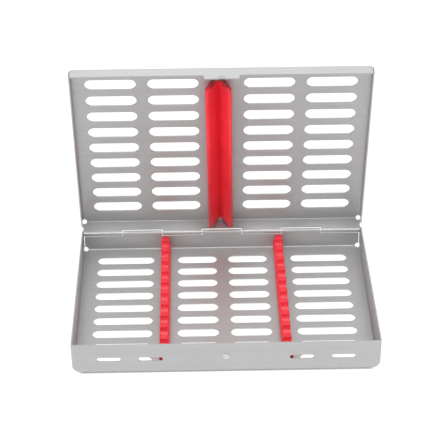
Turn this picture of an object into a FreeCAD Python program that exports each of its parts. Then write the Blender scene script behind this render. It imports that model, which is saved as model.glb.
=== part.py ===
import FreeCAD, Part
import os
import math
from FreeCAD import Vector as V

os.makedirs("parts", exist_ok=True)

# ---------------------------------------------------------------- dimensions (mm)
# Frame: X along the width, -Y towards the front wall with the latch button,
# +Z up.  The origin is the centre of the flat underside of the base tray.

sheet = 0.8                 # stainless sheet of tray and lid

# base tray
base_w = 200.0              # outside width, X
base_d = 139.2              # outside depth, Y (front face to rear wall face)
base_h = 22.8               # front wall and front end of the side walls
side_bend_r = 2.2           # outside bend radius floor / side wall
corner_r = 5.6              # the same at the front corners, where it opens out
corner_run = 14.0           # length over which it opens out
fold_r = 1.8                # outside radius of the tray's front and rear folds
lid_fold_r = 1.4            # the same on the lid
side_h_rear = 18.6          # side wall height at its rear end
side_end_y = 68.45          # rear end of the side walls
side_end_r = 3.5            # rounded top rear corner of the side walls
base_relief_r = 1.65        # corner relief hole of the tray, through the rear fold
base_relief_x = 98.0
rear_wall_hx = 98.6         # half length of the tray's rear wall

# hinge
pin_r = 1.0
bore_r = 1.05
barrel_r = bore_r + sheet   # 1.85
hinge_z = 13.1
wall_in_y = base_d / 2 - sheet            # inner plane of both rear walls
hinge_y = wall_in_y + barrel_r            # knuckles are rolled outward
n_knuckles = 7
barrel_hx = 99.7
knuckle_gap = 0.6
tray_cut_z = 11.35          # edge of the tray's cut-outs, under the lid's knuckles
lid_cut_z = 15.5            # edge of the lid's cut-outs, over the tray's knuckles
cut_r = 0.9                 # rounded corners of the cut-outs

# lid
lid_gap_x = 0.4             # lid skirt clear of the side walls
lid_gap_y = 0.65            # lid flange clear of the front wall and the button
lid_top = 24.7              # outside of the lid plate, closed
lid_bend_r = 3.0
flange_h = 8.4              # front flange, from the lid's outside
skirt_h = 6.3
tab_hx = 11.8               # half width of the latch tab
tab_h = 12.1                # from the lid's outside to the tab's free edge
tab_r = 0.9                 # rounded corners of the tab, at its root and free edge
button_z = 12.2             # height of the button
dimple_z = 13.3             # centre of the tab's dimple, closed
dimple_a = 2.4
dimple_h = 0.5
lid_relief_r = 1.65
lid_relief_x = 98.9
lid_relief_y = 68.2
lid_slit = 0.25             # between the lid's rear wall and its skirts
open_deg = 80.0             # lid angle at rest, from closed

# perforation: nine rows on one pitch, four columns each
pitch = 14.0
rows = 9
row_rear_y = 54.1
slot_w = 8.2
base_cols = ((-68.7, 40.1), (-17.9, 27.7), (17.9, 27.7), (68.7, 40.1))
lid_cols = ((-74.2, 34.3), (-32.3, 34.3), (32.3, 34.3), (74.2, 34.3))
# drainage slots in the front wall
drain_cols = ((-75.9, 15.4), (-48.9, 15.8), (48.9, 15.8), (75.9, 15.4))
drain_h = 3.2
drain_z = 10.9

# latch button (rivet)
button_r = 2.35
button_h = 0.5
button_edge = 0.42
shank_r = 0.8
tail_r = 1.6
tail_h = 0.4

# silicone rails: a body with round notches, and a lower shoulder along the side towards the middle
rail_x = 40.4               # middle of the strip that carries the rail
rail_out = 43.4             # outer face
rail_in = 38.0              # inner face of the notched body
shoulder_in = 36.95         # side of the shoulder
shoulder_z = 6.4
rail_w = 6.0
rail_top = 11.0
rail_front = -67.2          # stops short of the front wall
rail_rear = 68.75
notch_n = 10
notch_pitch = 12.5
notch_first_y = 59.3
notch_r = 4.4
notch_z = 11.1              # height of the notches' centre lines
# strip that carries each rail (folded C section, spot-welded to the floor)
strip_t = 0.6
strip_w = 4.0
strip_h = 3.4
strip_hy = 64.0

# hold-down pad of the lid (V trough), distances s from the hinge axis
pad_s0 = 5.6
pad_s1 = 131.2
pad_x = -0.63               # the pad sits a little off centre at the hinge end
pad_tilt = -0.69            # and runs further off towards the latch, degrees
# dovetail strip that carries the pad: half widths at the plate and at the head
pstrip_root = 1.7
pstrip_head = 2.3
pstrip_h = 0.8

front_y = -base_d / 2
floor_z = sheet
EPS = 0.02


# ---------------------------------------------------------------- helpers
def box(x0, x1, y0, y1, z0, z1):
    return Part.makeBox(x1 - x0, y1 - y0, z1 - z0, V(x0, y0, z0))


def edges_where(shape, test):
    out = []
    for e in shape.Edges:
        b = e.BoundBox
        if test(b):
            out.append(e)
    return out


def near(a, b):
    return abs(a - b) < 1e-4


def slot_z(cx, cy, length, width, z0, z1):
    """Upright prism with a stadium outline, long along X."""
    r = width / 2.0
    h = length / 2.0 - r
    p = [V(cx - h, cy - r, z0), V(cx + h, cy - r, z0), V(cx + h, cy + r, z0), V(cx - h, cy + r, z0)]
    w = Part.Wire([
        Part.LineSegment(p[0], p[1]).toShape(),
        Part.Arc(p[1], V(cx + h + r, cy, z0), p[2]).toShape(),
        Part.LineSegment(p[2], p[3]).toShape(),
        Part.Arc(p[3], V(cx - h - r, cy, z0), p[0]).toShape()])
    return Part.Face(w).extrude(V(0, 0, z1 - z0))


def slot_y(cx, cz, length, width, y0, y1):
    """Prism with a stadium outline through a wall that faces Y."""
    s = slot_z(cx, 0, length, width, 0, y1 - y0)
    s.rotate(V(0, 0, 0), V(1, 0, 0), 90)        # z -> -y
    s.translate(V(0, y1, cz))
    return s


def prism_x(points, x0, x1):
    """Closed polygon of (y, z) points, extruded along X."""
    pts = [V(x0, y, z) for y, z in points]
    return Part.Face(Part.makePolygon(pts + [pts[0]])).extrude(V(x1 - x0, 0, 0))


def prism_y(points, y0, y1):
    """Closed polygon of (x, z) points, extruded along Y."""
    pts = [V(x, y0, z) for x, z in points]
    return Part.Face(Part.makePolygon(pts + [pts[0]])).extrude(V(0, y1 - y0, 0))


def cyl_x(y, z, r, x0, x1):
    return Part.makeCylinder(r, x1 - x0, V(x0, y, z), V(1, 0, 0))


def shell_box(x, y0, y1, z0, z1, side_r, edge_r, up):
    """Box whose edges along Y are rounded by side_r at the closed end (bottom,
    or top when up), and whose end outlines are then rounded by edge_r."""
    b = box(-x, x, y0, y1, z0, z1)
    zc = z1 if up else z0
    b = b.makeFillet(side_r, edges_where(
        b, lambda q: near(q.ZMin, zc) and near(q.ZMax, zc) and near(q.XMin, q.XMax)))
    for yy in (y0, y1):
        es = edges_where(b, lambda q: near(q.YMin, yy) and near(q.YMax, yy)
                         and not (near(q.ZMin, q.ZMax) and near(q.ZMin, z0 if up else z1)))
        b = b.makeFillet(edge_r, es)
    return b


def knuckle_spans(own_first):
    """X spans of the knuckles of one sheet; the lid owns the outer ones."""
    step = 2 * barrel_hx / n_knuckles
    out = []
    for i in range(n_knuckles):
        if (i % 2 == 0) == own_first:
            a = -barrel_hx + i * step
            b = a + step
            a2 = a if i == 0 else a + knuckle_gap / 2
            b2 = b if i == n_knuckles - 1 else b - knuckle_gap / 2
            out.append((a2, b2))
    return out


def knuckle(x0, x1, up, reach):
    """Rolled knuckle and the stretch of wall that it grows from.  The sheet
    comes from below (up) or from above, on the inner side, and curls outward
    round the pin."""
    ring = cyl_x(hinge_y, hinge_z, barrel_r, x0, x1).cut(
        cyl_x(hinge_y, hinge_z, bore_r, x0 - 1, x1 + 1))
    a0, a1 = (192, 226) if up else (134, 168)
    far = 3.0
    pts = [(hinge_y, hinge_z)]
    for k in range(5):
        a = math.radians(a0 + (a1 - a0) * k / 4.0)
        pts.append((hinge_y + far * math.cos(a), hinge_z + far * math.sin(a)))
    gap = prism_x(pts, x0 - 1, x1 + 1)
    ring = ring.cut(gap)
    if up:
        wall = box(x0, x1, wall_in_y, wall_in_y + sheet, reach, hinge_z)
    else:
        wall = box(x0, x1, wall_in_y, wall_in_y + sheet, hinge_z, reach)
    return ring.fuse(wall)


def clean(shape):
    s = shape.removeSplitter()
    if s.ShapeType == "Compound" and len(s.Solids) == 1:
        s = s.Solids[0]
    return s


def c_strip(cx, z0, t, w, h, y0, y1, down=False):
    """Folded C strip standing on z0, or hanging from it when down."""
    x0, x1 = cx - w / 2, cx + w / 2
    g = -1 if down else 1

    def zb(a, b):
        lo, hi = sorted((z0 + g * a, z0 + g * b))
        return lo, hi
    f = box(x0, x1, y0, y1, *zb(0, t))
    web = box(x0, x0 + t, y0, y1, *zb(0, h))
    head = box(x0, x1 - 0.4, y0, y1, *zb(h - t, h))
    return clean(f.fuse([web, head]))


def tray_box(x, y0, y1, ym, z0, z1, side_r, front_r, edge_r):
    """Box with rounded lower edges; the side radius opens out from side_r at ym
    to front_r at the front end y0."""
    b = box(-x, x, ym, y1, z0, z1)
    b = b.makeFillet(side_r, edges_where(
        b, lambda q: near(q.ZMin, z0) and near(q.ZMax, z0) and near(q.XMin, q.XMax)))
    b = b.makeFillet(edge_r, edges_where(
        b, lambda q: near(q.YMin, y1) and near(q.YMax, y1)
        and not (near(q.ZMin, q.ZMax) and near(q.ZMin, z1))))
    f = box(-x, x, y0, ym, z0, z1)
    for sx in (-x, x):
        e = edges_where(f, lambda q: near(q.ZMin, z0) and near(q.ZMax, z0) and near(q.XMin, sx) and near(q.XMax, sx))[0]
        first = e.valueAt(e.FirstParameter).y
        r1, r2 = (front_r, side_r) if near(first, y0) else (side_r, front_r)
        f = f.makeFillet(r1, r2, [e])
    f = f.makeFillet(edge_r, edges_where(
        f, lambda q: abs(q.YMin - y0) < 1e-3 and abs(q.YMax - y0) < 1e-3
        and not (near(q.ZMin, q.ZMax) and near(q.ZMin, z1))))
    return b.fuse(f).removeSplitter()


# ---------------------------------------------------------------- base tray
outer = tray_box(base_w / 2, front_y, base_d / 2, front_y + corner_run, 0, base_h,
                 side_bend_r, corner_r, fold_r)
inner = tray_box(base_w / 2 - sheet, front_y + sheet, base_d / 2 - sheet, front_y + corner_run, sheet, base_h + 3,
                 side_bend_r - sheet, corner_r - sheet, fold_r - sheet)
tray = outer.cut(inner)

# top outline of the side walls: straight fall to the rear, rounded rear corner
y_a = front_y + 1.2
n_arc = 6
for s in (-1, 1):
    top = [(y_a, base_h)]
    slope = (base_h - side_h_rear) / (side_end_y - y_a)
    y_c = side_end_y - side_end_r
    z_c = base_h - slope * (y_c - y_a)
    arc = []
    for k in range(n_arc + 1):
        a = math.radians(90 - 90.0 * k / n_arc)
        arc.append((y_c + side_end_r * math.cos(a), z_c - side_end_r + side_end_r * math.sin(a)))
    pts = top + arc + [(side_end_y, -1), (base_d / 2 + 2, -1), (base_d / 2 + 2, base_h + 2), (y_a, base_h + 2)]
    x0, x1 = (rear_wall_hx, base_w / 2 + 1) if s > 0 else (-base_w / 2 - 1, -rear_wall_hx)
    tray = tray.cut(prism_x(pts, x0, x1))
# the rear wall stops at the hinge line and clears the lid's knuckles
tray = tray.cut(box(-rear_wall_hx - 3, rear_wall_hx + 3, side_end_y, base_d / 2 + 1, hinge_z, base_h + 2))
for a, b in knuckle_spans(True):
    a = a - 2 if a < -barrel_hx + 1 else a - knuckle_gap
    b = b + 2 if b > barrel_hx - 1 else b + knuckle_gap
    c = box(a, b, side_end_y, base_d / 2 + 1, tray_cut_z, hinge_z + 1)
    c = c.makeFillet(cut_r, edges_where(c, lambda q: near(q.ZMin, tray_cut_z) and near(q.ZMax, tray_cut_z)
                                        and near(q.XMin, q.XMax)))
    tray = tray.cut(c)
# relief hole at each rear corner, through the fold and square to it
for s in (-1, 1):
    d = V(0, 1, -1)
    mid = V(s * base_relief_x, base_d / 2 - 0.6, 0.6)
    tray = tray.cut(Part.makeCylinder(base_relief_r, 7.0, mid - d * (3.5 / d.Length), d))
# floor perforation and front drainage slots
tools = []
for k in range(rows):
    y = row_rear_y - k * pitch
    for cx, ln in base_cols:
        tools.append(slot_z(cx, y, ln, slot_w, -1, sheet + 1))
for cx, ln in drain_cols:
    tools.append(slot_y(cx, drain_z, ln, drain_h, front_y - 1, front_y + sheet + 0.6))
tools.append(Part.makeCylinder(shank_r, 3, V(0, front_y - 1, button_z), V(0, 1, 0)))
tray = tray.cut(Part.makeCompound(tools))
# knuckles of the tray (2nd, 4th, 6th)
parts_k = [knuckle(a, b, True, tray_cut_z - 1.0) for a, b in knuckle_spans(False)]
tray = clean(tray.fuse(parts_k))

# ---------------------------------------------------------------- latch button
dome = Part.makeCylinder(button_r, button_h, V(0, front_y - button_h, button_z), V(0, 1, 0))
dome = dome.makeFillet(button_edge, edges_where(dome, lambda q: near(q.YMin, q.YMax) and near(q.YMin, front_y - button_h)))
shank = Part.makeCylinder(shank_r, sheet, V(0, front_y, button_z), V(0, 1, 0))
tail = Part.makeCylinder(tail_r, tail_h, V(0, front_y + sheet, button_z), V(0, 1, 0))
button = clean(dome.fuse([shank, tail]))

# ---------------------------------------------------------------- hinge pin
pin = cyl_x(hinge_y, hinge_z, pin_r, -barrel_hx - 0.35, barrel_hx + 0.35)
pin = pin.makeFillet(0.3, edges_where(pin, lambda q: near(q.XMin, q.XMax)))

# ---------------------------------------------------------------- rail strips and rails
rails = {}
for name, s in (("left", -1), ("right", 1)):
    cx = s * rail_x
    strip = c_strip(cx, floor_z, strip_t, strip_w, strip_h, -strip_hy, strip_hy)
    xa, xb = sorted((s * rail_in, s * rail_out))
    r = box(xa, xb, rail_front, rail_rear, floor_z, rail_top)
    r = r.makeFillet(0.5, edges_where(r, lambda q: near(q.ZMin, rail_top) and near(q.ZMax, rail_top)
                                      and near(q.XMin, q.XMax)))
    xc, xd = sorted((s * (rail_in + 0.8), s * shoulder_in))
    sh = box(xc, xd, rail_front, rail_rear, floor_z, shoulder_z)
    sh = sh.makeFillet(0.45, edges_where(sh, lambda q: near(q.ZMin, shoulder_z) and near(q.ZMax, shoulder_z)
                                         and near(q.XMin, s * shoulder_in) and near(q.XMin, q.XMax)))
    r = r.fuse(sh)
    cutters = []
    for e, end in ((-1, rail_front), (1, rail_rear)):           # lower end edges clear the floor's folds
        ye = end + e
        yi = end - e * 1.2
        cutters.append(prism_x([(ye, floor_z - 1), (yi, floor_z - 1), (yi, floor_z), (end + e * 0.2, floor_z + 1.4), (ye, floor_z + 1.4)],
                               cx - rail_w, cx + rail_w))
    for k in range(notch_n):
        y = notch_first_y - k * notch_pitch
        cutters.append(cyl_x(y, notch_z, notch_r, cx - rail_w, cx + rail_w))
    r = r.cut(Part.makeCompound(cutters))
    # the strip's section, cut as a blind groove of the same length
    r = r.cut(strip)
    rails[name] = (strip, clean(r))

# ---------------------------------------------------------------- lid, modelled closed
lid_hx = base_w / 2 + lid_gap_x + sheet
lid_front = front_y - lid_gap_y - sheet
lid_in = lid_top - sheet
lo = shell_box(lid_hx, lid_front, base_d / 2, 8.0, lid_top, lid_bend_r, lid_fold_r, True)
li = shell_box(lid_hx - sheet, lid_front + sheet, base_d / 2 - sheet, 7.0, lid_in,
               lid_bend_r - sheet, lid_fold_r - sheet, True)
lid = lo.cut(li)
# flange with the latch tab
fz = lid_top - flange_h
tz = lid_top - tab_h
yf0, yf1 = lid_front - 1, lid_front + sheet + 0.01
for s in (-1, 1):
    xa, xb = sorted((s * tab_hx, s * (lid_hx + 1)))
    c = box(xa, xb, yf0, yf1, 0, fz)
    c = c.makeFillet(tab_r, edges_where(c, lambda q: near(q.ZMin, fz) and near(q.ZMax, fz)
                                        and near(q.XMin, s * tab_hx) and near(q.XMax, s * tab_hx)))
    lid = lid.cut(c)
lid = lid.cut(box(-tab_hx - 1, tab_hx + 1, yf0, yf1, 0, tz))
lid = lid.makeFillet(tab_r, edges_where(lid, lambda q: near(q.ZMin, tz) and near(q.ZMax, tz)
                                        and near(abs(q.XMin), tab_hx) and near(q.XMin, q.XMax)))
# side skirts
sz = lid_top - skirt_h
for s in (-1, 1):
    xa, xb = sorted((s * (lid_hx - sheet - 0.9), s * (lid_hx + 1)))
    lid = lid.cut(box(xa, xb, lid_front + sheet, base_d / 2 + 1, 0, sz))
# rear wall ends at the hinge line and clears the tray's knuckles
lid = lid.cut(box(-lid_hx, lid_hx, wall_in_y - 2, base_d / 2 + 1, 0, hinge_z))
for a, b in knuckle_spans(False):
    c = box(a - knuckle_gap, b + knuckle_gap, wall_in_y - 2, base_d / 2 + 1, hinge_z - 1, lid_cut_z)
    c = c.makeFillet(cut_r, edges_where(c, lambda q: near(q.ZMin, lid_cut_z) and near(q.ZMax, lid_cut_z)
                                        and near(q.XMin, q.XMax)))
    lid = lid.cut(c)
# the wall's ends, below the skirts, are as long as the barrel
for s in (-1, 1):
    xa, xb = sorted((s * barrel_hx, s * (lid_hx + 1)))
    lid = lid.cut(box(xa, xb, wall_in_y - 2, base_d / 2 + 1, 0, sz))
# rear corners: slit and relief hole
for s in (-1, 1):
    xa, xb = sorted((s * (lid_hx - sheet - lid_slit), s * (lid_hx - sheet)))
    lid = lid.cut(box(xa, xb, lid_relief_y, base_d / 2 + 1, 0, lid_top + 1))
    d = V(0, 1, 1)
    mid = V(s * lid_relief_x, base_d / 2 - 0.6, lid_top - 0.6)
    lid = lid.cut(Part.makeCylinder(lid_relief_r, 7.0, mid - d * (3.5 / d.Length), d))
# perforation
tools = []
for k in range(rows):
    y = row_rear_y - k * pitch
    for cx, ln in lid_cols:
        tools.append(slot_z(cx, y, ln, slot_w, lid_in - 1, lid_top + 1))
lid = lid.cut(Part.makeCompound(tools))
# dimple of the tab: pressed outward
rd = (dimple_a ** 2 + dimple_h ** 2) / (2 * dimple_h)
dc = lid_front - dimple_h + rd
bump = Part.makeSphere(rd, V(0, dc, dimple_z)).common(
    box(-6, 6, lid_front - 2, lid_front + 0.2, tz, dimple_z + 6))
hollow = Part.makeSphere(rd, V(0, dc + sheet, dimple_z)).common(
    box(-6, 6, lid_front - 2, lid_front + sheet + 0.01, tz - 1, dimple_z + 6))
lid = lid.fuse(bump).cut(hollow)
# knuckles of the lid (1st, 3rd, 5th, 7th)
parts_k = [knuckle(a, b, False, lid_cut_z + 1.0) for a, b in knuckle_spans(True)]
lid = clean(lid.fuse(parts_k))

# strip and pad of the lid, modelled closed
py0, py1 = hinge_y - pad_s1, hinge_y - pad_s0
pstrip = prism_y([(-pstrip_root, lid_in), (pstrip_root, lid_in), (pstrip_head, lid_in - pstrip_h),
                  (-pstrip_head, lid_in - pstrip_h)], py0 + 4, py1 - 4)
# half profile of the trough: (x, proud of the plate)
half = [(4.6, 0.0), (8.3, 7.6), (8.6, 8.6), (8.7, 9.7), (8.65, 11.1), (8.35, 11.8), (7.75, 12.15), (7.05, 12.1),
        (6.45, 11.6), (6.1, 10.9), (5.25, 9.35), (2.75, 4.95), (1.65, 3.0), (1.15, 2.2), (0.75, 1.75), (0.3, 1.5)]
prof = [(x, lid_in - h) for x, h in half] + [(-x, lid_in - h) for x, h in reversed(half)]
pad = clean(prism_y(prof, py0, py1).cut(pstrip))
for sh in (pstrip, pad):
    sh.translate(V(pad_x, 0, 0))
    sh.rotate(V(pad_x, hinge_y, 0), V(0, 0, 1), pad_tilt)

# ---------------------------------------------------------------- open the lid to its rest angle
axis_p = V(0, hinge_y, hinge_z)
for sh in (lid, pstrip, pad):
    sh.rotate(axis_p, V(1, 0, 0), -open_deg)

nodes = {
    "base_tray": tray,
    "latch_button": button,
    "hinge_pin": pin,
    "rail_strip_left": rails["left"][0],
    "rail_strip_right": rails["right"][0],
    "rail_left": rails["left"][1],
    "rail_right": rails["right"][1],
    "lid_shell": lid,
    "pad_strip": pstrip,
    "hold_down_pad": pad,
}
for name, sh in nodes.items():
    sh.exportStep("parts/" + name + ".step")
    b = sh.BoundBox
    print("%-18s %-9s solids %d valid %s vol %.0f  x %.2f %.2f y %.2f %.2f z %.2f %.2f" % (
        name, sh.ShapeType, len(sh.Solids), sh.isValid(), sh.Volume,
        b.XMin, b.XMax, b.YMin, b.YMax, b.ZMin, b.ZMax))
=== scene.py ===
import bpy
import bmesh
import math
import os
from mathutils import Matrix, Vector


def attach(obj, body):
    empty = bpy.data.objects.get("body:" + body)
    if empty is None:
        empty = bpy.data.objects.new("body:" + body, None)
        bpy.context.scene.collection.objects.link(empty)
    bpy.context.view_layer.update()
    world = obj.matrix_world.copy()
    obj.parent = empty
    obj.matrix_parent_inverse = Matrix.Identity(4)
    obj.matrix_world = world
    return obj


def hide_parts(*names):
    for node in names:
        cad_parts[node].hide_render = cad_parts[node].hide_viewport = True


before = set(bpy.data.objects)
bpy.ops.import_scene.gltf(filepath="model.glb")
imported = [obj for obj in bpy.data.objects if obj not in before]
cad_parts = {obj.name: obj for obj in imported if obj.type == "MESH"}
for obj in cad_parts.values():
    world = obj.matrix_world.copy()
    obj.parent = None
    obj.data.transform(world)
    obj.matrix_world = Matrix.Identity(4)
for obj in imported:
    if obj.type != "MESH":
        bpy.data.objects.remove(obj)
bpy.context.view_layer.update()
scene = bpy.context.scene

MM = 0.001

# ------------------------------------------------------------------ camera
# Solved from the slot grid and the outline: target on the table plane, metres.
F_PX, IMG = 1544.0, 430.0
ELEV, YAW, ROLL = 0.59247, -0.012917, -0.0083484
TARGET = Vector((-4.2395 * MM, 111.99 * MM, 0.0))
DIST = 1153.4 * MM


def make_camera():
    rz = Matrix.Rotation(YAW, 3, "Z")
    right = rz @ Vector((1, 0, 0))
    fwd = rz @ Vector((0, math.cos(ELEV), -math.sin(ELEV)))
    up = rz @ Vector((0, math.sin(ELEV), math.cos(ELEV)))
    r2 = math.cos(ROLL) * right + math.sin(ROLL) * up
    u2 = -math.sin(ROLL) * right + math.cos(ROLL) * up
    pos = TARGET - DIST * fwd
    m = Matrix((r2, u2, -fwd)).transposed().to_4x4()
    m.translation = pos
    cam = bpy.data.cameras.new("camera")
    cam.sensor_fit = "HORIZONTAL"
    cam.sensor_width = 36.0
    cam.lens = F_PX / IMG * 36.0
    cam.clip_start = 0.05
    cam.clip_end = 30.0
    ob = bpy.data.objects.new("camera", cam)
    scene.collection.objects.link(ob)
    ob.matrix_world = m
    scene.camera = ob


make_camera()


# ------------------------------------------------------------------ materials
def new_mat(name):
    m = bpy.data.materials.new(name)
    m.use_nodes = True
    nt = m.node_tree
    for n in list(nt.nodes):
        nt.nodes.remove(n)
    out = nt.nodes.new("ShaderNodeOutputMaterial")
    bsdf = nt.nodes.new("ShaderNodeBsdfPrincipled")
    nt.links.new(bsdf.outputs["BSDF"], out.inputs["Surface"])
    return m, nt, bsdf


def stretched_noise(nt, coord, scale, noise_scale=1.0, detail=3.0, rough=0.55):
    mp = nt.nodes.new("ShaderNodeMapping")
    mp.inputs["Scale"].default_value = scale
    nt.links.new(coord, mp.inputs["Vector"])
    nz = nt.nodes.new("ShaderNodeTexNoise")
    nz.inputs["Scale"].default_value = noise_scale
    nz.inputs["Detail"].default_value = detail
    nz.inputs["Roughness"].default_value = rough
    nt.links.new(mp.outputs["Vector"], nz.inputs["Vector"])
    return nz.outputs["Fac"]


def ramp(nt, fac, lo, hi, p0=0.3, p1=0.7):
    mr = nt.nodes.new("ShaderNodeMapRange")
    mr.inputs["From Min"].default_value = p0
    mr.inputs["From Max"].default_value = p1
    mr.inputs["To Min"].default_value = lo
    mr.inputs["To Max"].default_value = hi
    nt.links.new(fac, mr.inputs["Value"])
    return mr.outputs["Result"]


def mix_colour(nt, fac, a, b):
    mx = nt.nodes.new("ShaderNodeMix")
    mx.data_type = "RGBA"
    mx.inputs["A"].default_value = (*a, 1.0)
    mx.inputs["B"].default_value = (*b, 1.0)
    nt.links.new(fac, mx.inputs["Factor"])
    return mx.outputs["Result"]


def steel(name, dark, light, r_lo, r_hi, grain=(14.0, 1500.0, 1500.0), fine=(60.0, 5200.0, 5200.0), bump=0.06,
          aniso=0.0, metal=1.0):
    """Satin stainless sheet with a fine grain along X."""
    m, nt, b = new_mat(name)
    tc = nt.nodes.new("ShaderNodeTexCoord")
    obj = tc.outputs["Object"]
    g1 = stretched_noise(nt, obj, grain, 1.0, 4.0, 0.6)
    g2 = stretched_noise(nt, obj, fine, 1.0, 2.0, 0.6)
    cloud = stretched_noise(nt, obj, (14.0, 14.0, 14.0), 1.0, 3.0, 0.5)
    add = nt.nodes.new("ShaderNodeMath")
    add.operation = "MULTIPLY_ADD"
    add.inputs[1].default_value = 0.45
    nt.links.new(g2, add.inputs[0])
    half = nt.nodes.new("ShaderNodeMath")
    half.operation = "MULTIPLY"
    half.inputs[1].default_value = 0.55
    nt.links.new(g1, half.inputs[0])
    nt.links.new(half.outputs[0], add.inputs[2])
    both = add.outputs[0]
    # long faint streaks of the rolled and brushed sheet
    streak = stretched_noise(nt, obj, (grain[0] * 0.4, grain[1] * 0.3, grain[2] * 0.3), 1.0, 2.0, 0.5)
    tone = nt.nodes.new("ShaderNodeMath")
    tone.operation = "ADD"
    nt.links.new(cloud, tone.inputs[0])
    nt.links.new(streak, tone.inputs[1])
    mixf = nt.nodes.new("ShaderNodeMath")
    mixf.operation = "MULTIPLY_ADD"
    mixf.inputs[1].default_value = 0.25
    nt.links.new(tone.outputs[0], mixf.inputs[0])
    half2 = nt.nodes.new("ShaderNodeMath")
    half2.operation = "MULTIPLY"
    half2.inputs[1].default_value = 0.5
    nt.links.new(both, half2.inputs[0])
    nt.links.new(half2.outputs[0], mixf.inputs[2])
    nt.links.new(mix_colour(nt, ramp(nt, mixf.outputs[0], 0.0, 1.0, 0.38, 0.62), dark, light), b.inputs["Base Color"])
    nt.links.new(ramp(nt, both, r_lo, r_hi, 0.35, 0.65), b.inputs["Roughness"])
    b.inputs["Metallic"].default_value = metal
    if aniso:
        # the grain runs along X, which is also the hinge's axis, so it stays there when the lid turns
        b.inputs["Anisotropic"].default_value = aniso
        b.inputs["Anisotropic Rotation"].default_value = 0.25
        along = nt.nodes.new("ShaderNodeCombineXYZ")
        along.inputs[0].default_value = 1.0
        nt.links.new(along.outputs[0], b.inputs["Tangent"])
    bp = nt.nodes.new("ShaderNodeBump")
    bp.inputs["Strength"].default_value = bump
    bp.inputs["Distance"].default_value = 0.00012
    nt.links.new(both, bp.inputs["Height"])
    nt.links.new(bp.outputs["Normal"], b.inputs["Normal"])
    return m


def silicone(name, dark, light, rough=(0.40, 0.52)):
    """Moulded silicone: soft satin skin, a little light inside."""
    m, nt, b = new_mat(name)
    tc = nt.nodes.new("ShaderNodeTexCoord")
    obj = tc.outputs["Object"]
    cloud = stretched_noise(nt, obj, (60.0, 60.0, 60.0), 1.0, 3.0, 0.5)
    skin = stretched_noise(nt, obj, (1800.0, 1800.0, 1800.0), 1.0, 2.0, 0.5)
    nt.links.new(mix_colour(nt, ramp(nt, cloud, 0.0, 1.0, 0.35, 0.65), dark, light), b.inputs["Base Color"])
    nt.links.new(ramp(nt, skin, rough[0], rough[1], 0.3, 0.7), b.inputs["Roughness"])
    b.inputs["Metallic"].default_value = 0.0
    b.inputs["IOR"].default_value = 1.48
    b.inputs["Subsurface Weight"].default_value = 0.2
    b.inputs["Subsurface Radius"].default_value = (0.0012, 0.0003, 0.0003)
    b.inputs["Subsurface Scale"].default_value = 1.0
    b.inputs["Sheen Weight"].default_value = 0.08
    b.inputs["Sheen Roughness"].default_value = 0.45
    b.inputs["Sheen Tint"].default_value = (1.0, 0.72, 0.78, 1.0)
    bp = nt.nodes.new("ShaderNodeBump")
    bp.inputs["Strength"].default_value = 0.12
    bp.inputs["Distance"].default_value = 0.00008
    nt.links.new(skin, bp.inputs["Height"])
    nt.links.new(bp.outputs["Normal"], b.inputs["Normal"])
    return m


MAT_SHEET = steel("satin_steel_sheet", (0.497, 0.496, 0.497), (0.557, 0.556, 0.557), 0.42, 0.52, aniso=0.5, metal=0.8)
MAT_TRAY = steel("satin_steel_tray", (0.498, 0.500, 0.501), (0.558, 0.560, 0.561), 0.50, 0.60, aniso=0.3, metal=0.9)
MAT_WIRE = steel("drawn_steel_wire", (0.66, 0.65, 0.65), (0.78, 0.77, 0.77), 0.24, 0.36,
                 grain=(40.0, 2500.0, 2500.0), fine=(200.0, 8000.0, 8000.0), bump=0.04)
MAT_RIVET = steel("domed_steel_rivet", (0.56, 0.55, 0.55), (0.66, 0.65, 0.65), 0.20, 0.30,
                  grain=(900.0, 900.0, 900.0), fine=(4000.0, 4000.0, 4000.0), bump=0.05)
MAT_STRIP = steel("folded_steel_strip", (0.55, 0.54, 0.54), (0.66, 0.65, 0.65), 0.38, 0.5,
                  grain=(1500.0, 14.0, 1500.0), fine=(5200.0, 60.0, 5200.0), bump=0.06)
MAT_RED = silicone("red_silicone", (0.88, 0.024, 0.042), (0.94, 0.032, 0.054), (0.34, 0.44))


def dress(node, mat):
    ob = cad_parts[node]
    if not ob.material_slots:
        ob.data.materials.append(mat)
    for s in ob.material_slots:
        s.material = mat


dress("base_tray", MAT_TRAY)
dress("lid_shell", MAT_SHEET)
dress("hinge_pin", MAT_WIRE)
dress("latch_button", MAT_RIVET)
for n in ("rail_strip_left", "rail_strip_right", "pad_strip"):
    dress(n, MAT_STRIP)
for n in ("rail_left", "rail_right", "hold_down_pad"):
    dress(n, MAT_RED)


# ------------------------------------------------------------------ soft parts
def link_mesh(name, bm):
    me = bpy.data.meshes.new(name)
    bmesh.ops.recalc_face_normals(bm, faces=bm.faces[:])
    bm.to_mesh(me)
    bm.free()
    ob = bpy.data.objects.new(name, me)
    scene.collection.objects.link(ob)
    for p in me.polygons:
        p.use_smooth = True
    return ob


def prism(name, outline, axis_from, axis_to, place):
    """Closed outline (list of 2D points), extruded between two stations.
    place(u, v, w) gives the point in the row frame."""
    bm = bmesh.new()
    a = [bm.verts.new(place(u, v, axis_from)) for u, v in outline]
    c = [bm.verts.new(place(u, v, axis_to)) for u, v in outline]
    n = len(outline)
    for i in range(n):
        j = (i + 1) % n
        bm.faces.new((a[i], a[j], c[j], c[i]))
    bm.faces.new(a)
    bm.faces.new(list(reversed(c)))
    return bm


def bevelled(ob, width, segments=3, angle=28.0):
    mod = ob.modifiers.new("edge_round", "BEVEL")
    mod.width = width
    mod.segments = segments
    mod.limit_method = "ANGLE"
    mod.angle_limit = math.radians(angle)
    mod.harden_normals = False
    mod.use_clamp_overlap = True
    wn = ob.modifiers.new("weighted", "WEIGHTED_NORMAL")
    wn.keep_sharp = True
    return ob


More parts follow.
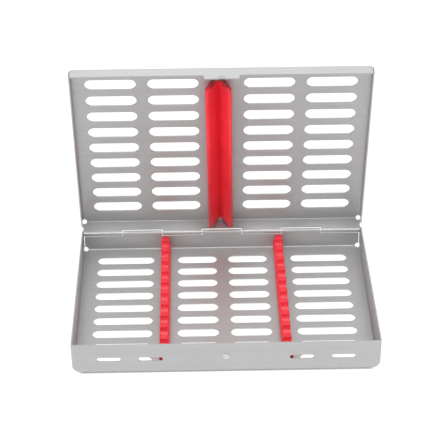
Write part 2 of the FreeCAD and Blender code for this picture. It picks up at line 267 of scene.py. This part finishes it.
RAIL_OUT, RAIL_IN, SHOULDER_IN, SHOULDER_Z = 43.4, 38.0, 36.95, 6.4
RAIL_TOP, RAIL_FRONT, RAIL_REAR, FLOOR_Z = 11.0, -67.2, 68.75, 0.8
NOTCH_N, NOTCH_PITCH, NOTCH_FIRST, NOTCH_R, NOTCH_Z = 10, 12.5, 59.3, 4.4, 11.1


def rail(side):
    """Body with round notches, and the lower rounded shoulder along its side towards the middle."""
    node = "rail_" + side
    s = -1.0 if side == "left" else 1.0
    y0, y1, z0, z1 = RAIL_FRONT, RAIL_REAR, FLOOR_Z, RAIL_TOP
    # side outline of the body; the lower ends are chamfered, as the tray's folds need
    pts = [(y0 + 1.2, z0), (y1 - 1.2, z0), (y1, z0 + 1.4), (y1, z1)]
    tip = math.degrees(math.asin((NOTCH_Z - z1) / NOTCH_R))
    for k in range(NOTCH_N):
        yc = NOTCH_FIRST - k * NOTCH_PITCH
        for i in range(19):
            t = math.radians(tip + (180.0 - 2 * tip) * i / 18)
            pts.append((yc + NOTCH_R * math.cos(t), NOTCH_Z - NOTCH_R * math.sin(t)))
    pts += [(y0, z1), (y0, z0 + 1.4)]
    xa, xb = sorted((s * RAIL_IN, s * RAIL_OUT))
    bm = prism("body", pts, xa, xb, lambda u, v, w: (w * MM, u * MM, v * MM))
    # shoulder: one outline at four stations, clear of the folds at both ends
    rings = []
    for y, zb in ((y0, z0 + 1.4), (y0 + 1.2, z0), (y1 - 1.2, z0), (y1, z0 + 1.4)):
        out = [(RAIL_IN + 0.8, zb), (RAIL_IN + 0.8, SHOULDER_Z), (SHOULDER_IN, SHOULDER_Z), (SHOULDER_IN, zb)]
        rings.append([bm.verts.new((s * x * MM, y * MM, z * MM)) for x, z in out])
    for ra, rb in zip(rings, rings[1:]):
        for i in range(4):
            j = (i + 1) % 4
            bm.faces.new((ra[i], ra[j], rb[j], rb[i]))
    bm.faces.new(rings[0])
    bm.faces.new(list(reversed(rings[-1])))
    ob = link_mesh(node + "_silicone", bm)
    bevelled(ob, 0.35 * MM, 3)
    ob.data.materials.append(MAT_RED)
    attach(ob, "tray")
    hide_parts(node)
    return ob


rail("left")
rail("right")

# trough of the lid: profile as in the solid, with rounder lips
HINGE_Y, HINGE_Z, LID_IN, OPEN = 70.65, 13.1, 23.9, math.radians(80.0)
PAD_S0, PAD_S1 = 5.6, 131.2
PAD_X, PAD_TILT = -0.63, math.radians(-0.69)


def lid_point(x, s, h):
    """x across, s from the hinge axis, h proud of the lid plate (all mm), with the lid at rest."""
    dy, dz = -s, (LID_IN - h) - HINGE_Z
    c, sn = math.cos(OPEN), math.sin(OPEN)
    return (x * MM, (HINGE_Y + dy * c + dz * sn) * MM, (HINGE_Z - dy * sn + dz * c) * MM)


def pad_point(x, s, h):
    ct, st = math.cos(PAD_TILT), math.sin(PAD_TILT)
    return lid_point(PAD_X + x * ct + s * st, s * ct - x * st, h)


def arc(cx, cy, r, a0, a1, n):
    return [(cx + r * math.cos(math.radians(a0 + (a1 - a0) * i / n)),
             cy + r * math.sin(math.radians(a0 + (a1 - a0) * i / n))) for i in range(n + 1)]


def pad():
    outer = [(4.6, 0.0), (6.4, 3.6), (7.6, 6.1), (8.25, 7.6)] + arc(7.1, 9.3, 1.62, -22, 8, 3)
    lip = arc(7.55, 11.0, 1.15, 5, 150, 9)
    inner = [(6.1, 10.9), (5.25, 9.4), (4.0, 7.25), (2.75, 5.15), (1.5, 3.15)]
    right = outer + lip + inner
    prof = right + [(0.0, 0.95)] + [(-x, h) for x, h in reversed(right)]
    bm = prism("pad", prof, PAD_S0, PAD_S1, lambda u, v, w: pad_point(u, w, v))
    # the crease at the bottom of the trough is left out of the edge rounding
    deep = [Vector(pad_point(0.0, sv, 0.95)) for sv in (PAD_S0, PAD_S1)]
    weight = bm.edges.layers.float.new("bevel_weight_edge")
    for e in bm.edges:
        ends = [min((v.co - d).length for d in deep) < 1e-6 for v in e.verts]
        if all(ends):
            e.smooth = False
        elif len(e.link_faces) == 2 and e.calc_face_angle(0.0) > math.radians(40.0):
            e[weight] = 1.0
    ob = link_mesh("hold_down_trough", bm)
    # the two walls that meet in the crease are plane, so their shading isn't smoothed across it
    for p in ob.data.polygons:
        if sum(min((ob.data.vertices[i].co - d).length for d in deep) < 1e-6 for i in p.vertices) == 2:
            p.use_smooth = False
    bevelled(ob, 0.22 * MM, 3, 40.0).modifiers["edge_round"].limit_method = "WEIGHT"
    ob.data.materials.append(MAT_RED)
    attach(ob, "lid")
    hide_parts("hold_down_pad")
    return ob


pad()


# ------------------------------------------------------------------ stage
def make_floor():
    bm = bmesh.new()
    n = 64
    ring = [bm.verts.new((6.0 * math.cos(2 * math.pi * i / n), 6.0 * math.sin(2 * math.pi * i / n), -0.0002)) for i in range(n)]
    bm.faces.new(ring)
    me = bpy.data.meshes.new("floor")
    bm.to_mesh(me)
    bm.free()
    ob = bpy.data.objects.new("floor", me)
    scene.collection.objects.link(ob)
    m = bpy.data.materials.new("pale_floor")
    m.use_nodes = True
    nt = m.node_tree
    for nd in list(nt.nodes):
        nt.nodes.remove(nd)
    out = nt.nodes.new("ShaderNodeOutputMaterial")
    em = nt.nodes.new("ShaderNodeEmission")
    em.inputs["Strength"].default_value = 1.0
    # painted contact shade: the floor's glow is dimmed in a band under the solid front border of the tray
    geo = nt.nodes.new("ShaderNodeNewGeometry")
    sep = nt.nodes.new("ShaderNodeSeparateXYZ")
    nt.links.new(geo.outputs["Position"], sep.inputs[0])

    def inside(axis, edge, fade, above):
        mr = nt.nodes.new("ShaderNodeMapRange")
        mr.interpolation_type = "SMOOTHSTEP"
        mr.inputs["From Min"].default_value = edge - fade if above else edge + fade
        mr.inputs["From Max"].default_value = edge
        nt.links.new(sep.outputs[axis], mr.inputs["Value"])
        return mr.outputs["Result"]

    shade = None
    for cond in (inside("X", -0.093, 0.004, True), inside("X", 0.093, 0.004, False),
                 inside("Y", -0.0690, 0.0012, True), inside("Y", -0.0650, 0.0015, False)):
        if shade is None:
            shade = cond
        else:
            mu = nt.nodes.new("ShaderNodeMath")
            mu.operation = "MULTIPLY"
            nt.links.new(shade, mu.inputs[0])
            nt.links.new(cond, mu.inputs[1])
            shade = mu.outputs[0]
    nt.links.new(mix_colour(nt, shade, (1.0, 1.0, 1.0), (0.35, 0.35, 0.35)), em.inputs["Color"])
    df = nt.nodes.new("ShaderNodeBsdfDiffuse")
    df.inputs["Color"].default_value = (0.12, 0.12, 0.12, 1)
    ad = nt.nodes.new("ShaderNodeAddShader")
    nt.links.new(em.outputs[0], ad.inputs[0])
    nt.links.new(df.outputs[0], ad.inputs[1])
    nt.links.new(ad.outputs[0], out.inputs["Surface"])
    me.materials.append(m)


make_floor()


def make_world(lobes):
    """Soft studio surround: a sum of broad lobes (azimuth from +Y towards +X, elevation, sharpness, strength)."""
    world = bpy.data.worlds.new("surround")
    world.use_nodes = True
    nt = world.node_tree
    bg = nt.nodes["Background"]
    tc = nt.nodes.new("ShaderNodeTexCoord")
    total = None
    for az, el, p, w in lobes:
        if w <= 0:
            continue
        a, e = math.radians(az), math.radians(el)
        dot = nt.nodes.new("ShaderNodeVectorMath")
        dot.operation = "DOT_PRODUCT"
        nt.links.new(tc.outputs["Generated"], dot.inputs[0])
        dot.inputs[1].default_value = (math.sin(a) * math.cos(e), math.cos(a) * math.cos(e), math.sin(e))
        top = nt.nodes.new("ShaderNodeMath")
        top.operation = "MAXIMUM"
        top.inputs[1].default_value = 0.0
        nt.links.new(dot.outputs["Value"], top.inputs[0])
        pw = nt.nodes.new("ShaderNodeMath")
        pw.operation = "POWER"
        pw.inputs[1].default_value = p
        nt.links.new(top.outputs[0], pw.inputs[0])
        acc = nt.nodes.new("ShaderNodeMath")
        acc.operation = "MULTIPLY_ADD"
        acc.inputs[1].default_value = w
        acc.inputs[2].default_value = 0.0
        nt.links.new(pw.outputs[0], acc.inputs[0])
        if total is not None:
            nt.links.new(total, acc.inputs[2])
        total = acc.outputs[0]
    bg.inputs["Color"].default_value = (1, 1, 1, 1)
    bg.inputs["Strength"].default_value = 0.0
    if total is not None:
        nt.links.new(total, bg.inputs["Strength"])
    scene.world = world


LOBES = [(0, 90, 6, 1.10), (0, 50, 6, 1.21), (90, 12, 8, 0.90), (135, 12, 8, 0.85), (225, 12, 8, 2.60),
         (180, 75, 30, 6.25)]
make_world(LOBES)
scene.view_settings.view_transform = "Standard"
scene.view_settings.look = "None"
